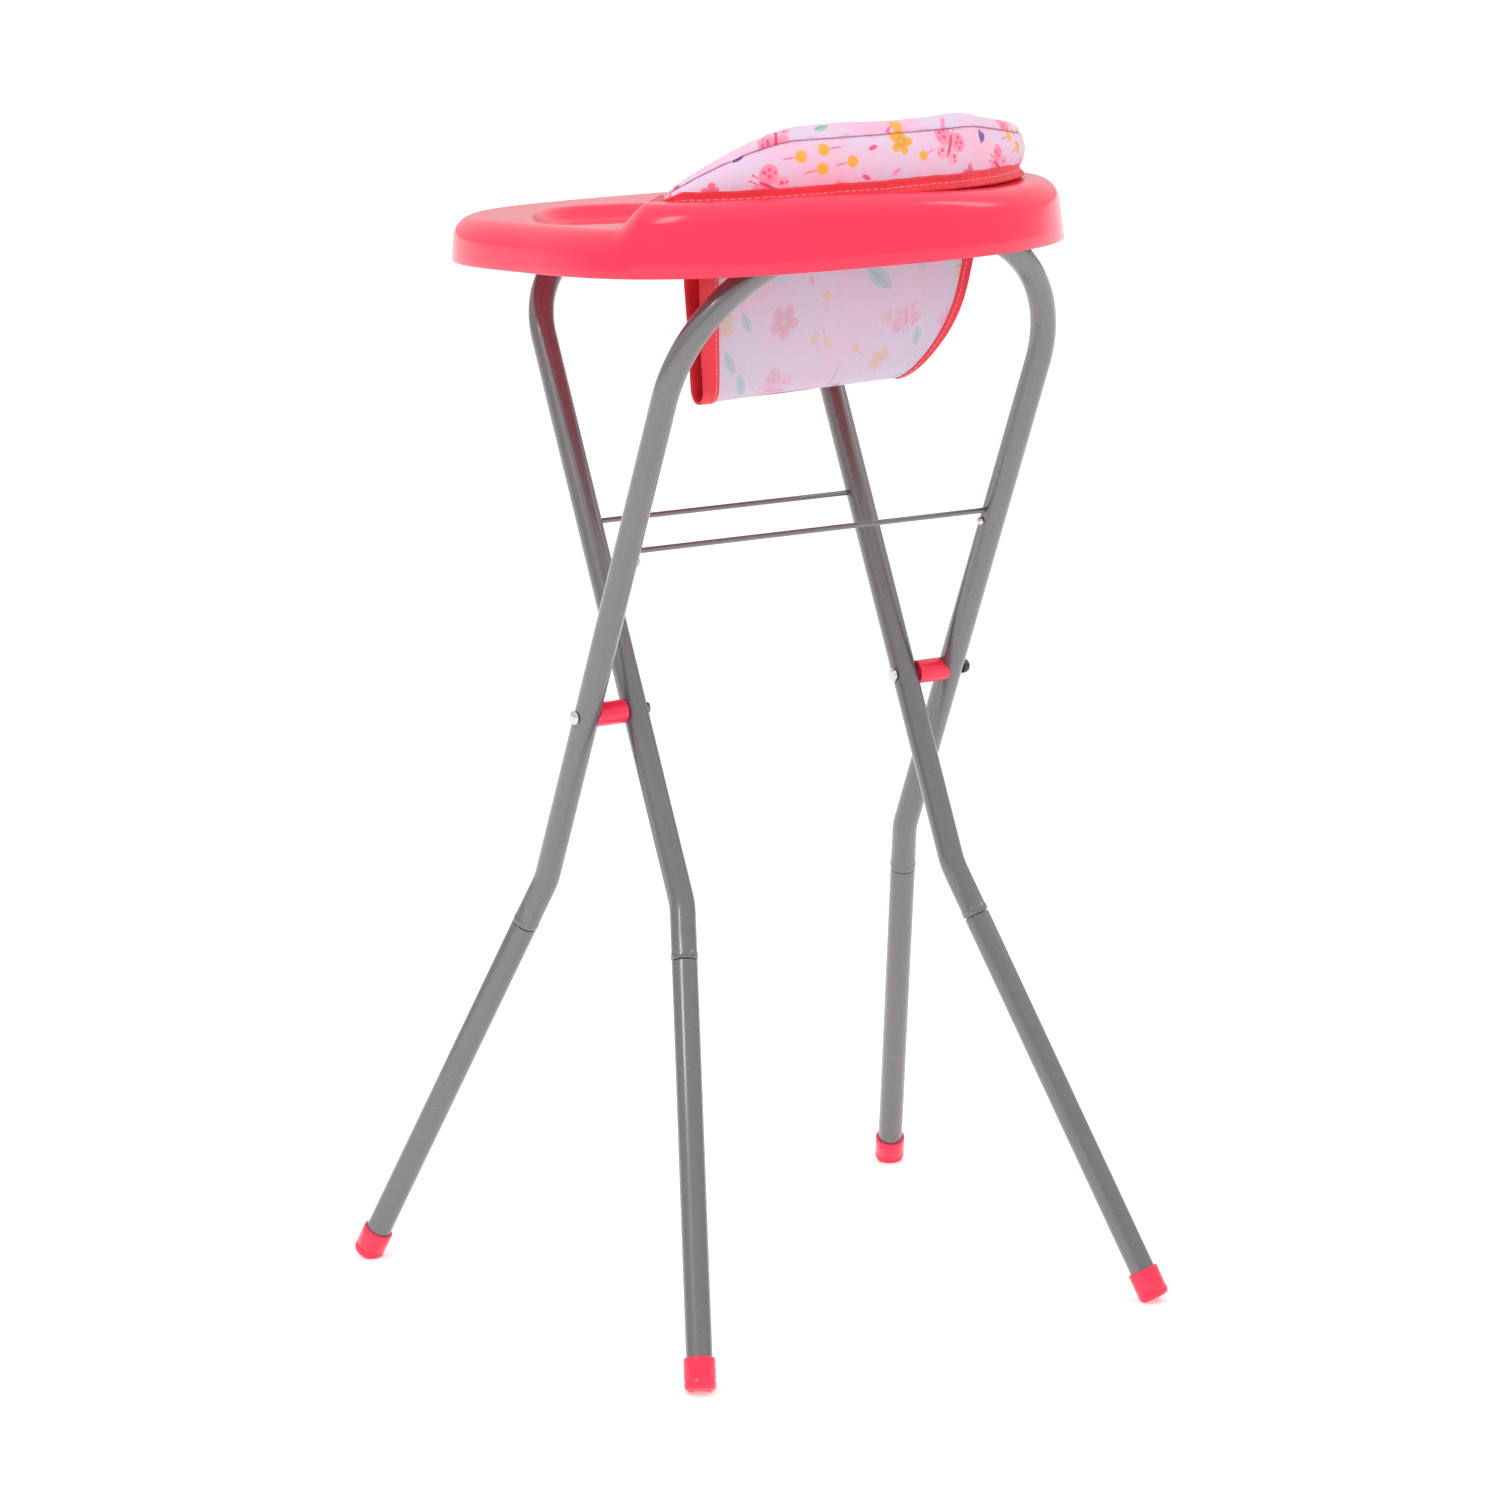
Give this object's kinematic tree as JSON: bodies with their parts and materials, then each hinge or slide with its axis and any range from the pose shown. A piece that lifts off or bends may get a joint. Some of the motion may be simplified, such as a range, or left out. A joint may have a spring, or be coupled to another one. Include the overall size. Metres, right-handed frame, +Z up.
{
  "type": "doll changing table",
  "caption": "Folding X-frame doll changing table of bent steel tube with an oval lift-off tray, a padded mat and a hanging fabric sling.",
  "frame": {"origin": "on the floor, midway between the four feet, under the pivot axis", "axes": "+X along the pivot axis and the bars, to the right; +Y to the back; +Z up"},
  "size_m": [0.415, 0.3734, 0.735],
  "materials": {
    "painted_tube": "smooth silver-grey powder coat",
    "pink_plastic": "glossy injection moulding",
    "bright_steel": "bright zinc plate",
    "dark_steel": "black finish on steel",
    "printed_fabric": "woven polyester with a small flower print",
    "red_binding": "woven red binding tape"
  },
  "bodies": {
    "outer_frame": {"outer_upper_frame": "painted_tube", "outer_lower_leg_left": "painted_tube", "outer_lower_leg_right": "painted_tube", "outer_foot_cap_left": "pink_plastic", "outer_foot_cap_right": "pink_plastic", "outer_cross_wire": "painted_tube", "wire_screw_left": "bright_steel", "wire_screw_right": "bright_steel", "pivot_spacer_left": "pink_plastic", "pivot_spacer_right": "pink_plastic", "pivot_rivet_left": "bright_steel", "pivot_bolt_right": "bright_steel", "pivot_cap_nut_right": "dark_steel"},
    "inner_frame": {"inner_upper_frame": "painted_tube", "inner_lower_leg_left": "painted_tube", "inner_lower_leg_right": "painted_tube", "inner_foot_cap_left": "pink_plastic", "inner_foot_cap_right": "pink_plastic", "inner_cross_wire": "painted_tube"},
    "tray_unit": {"tray": "pink_plastic", "front_bar_clip_left": "pink_plastic", "front_bar_clip_right": "pink_plastic", "back_bar_clip_left": "pink_plastic", "back_bar_clip_right": "pink_plastic", "changing_mat": "printed_fabric", "mat_base_band": "red_binding", "storage_sling": "printed_fabric", "sling_binding_left": "red_binding", "sling_binding_right": "red_binding"}
  },
  "joints": [
    {"name": "frame_fold", "type": "hinge", "parent": "outer_frame", "child": "inner_frame", "pos_m": [0, 0, 0.3757], "axis": [1, 0, 0], "range_deg": [0, 46]},
    {"name": "tray_lift", "type": "slide", "parent": "outer_frame", "child": "tray_unit", "axis": [0, 0.0523, 0.9986], "range_m": [0, 0.19]}
  ],
  "couplings": [
    {"joint": "tray_lift", "follows": "frame_fold", "m_per_rad": 0.2366}
  ]
}
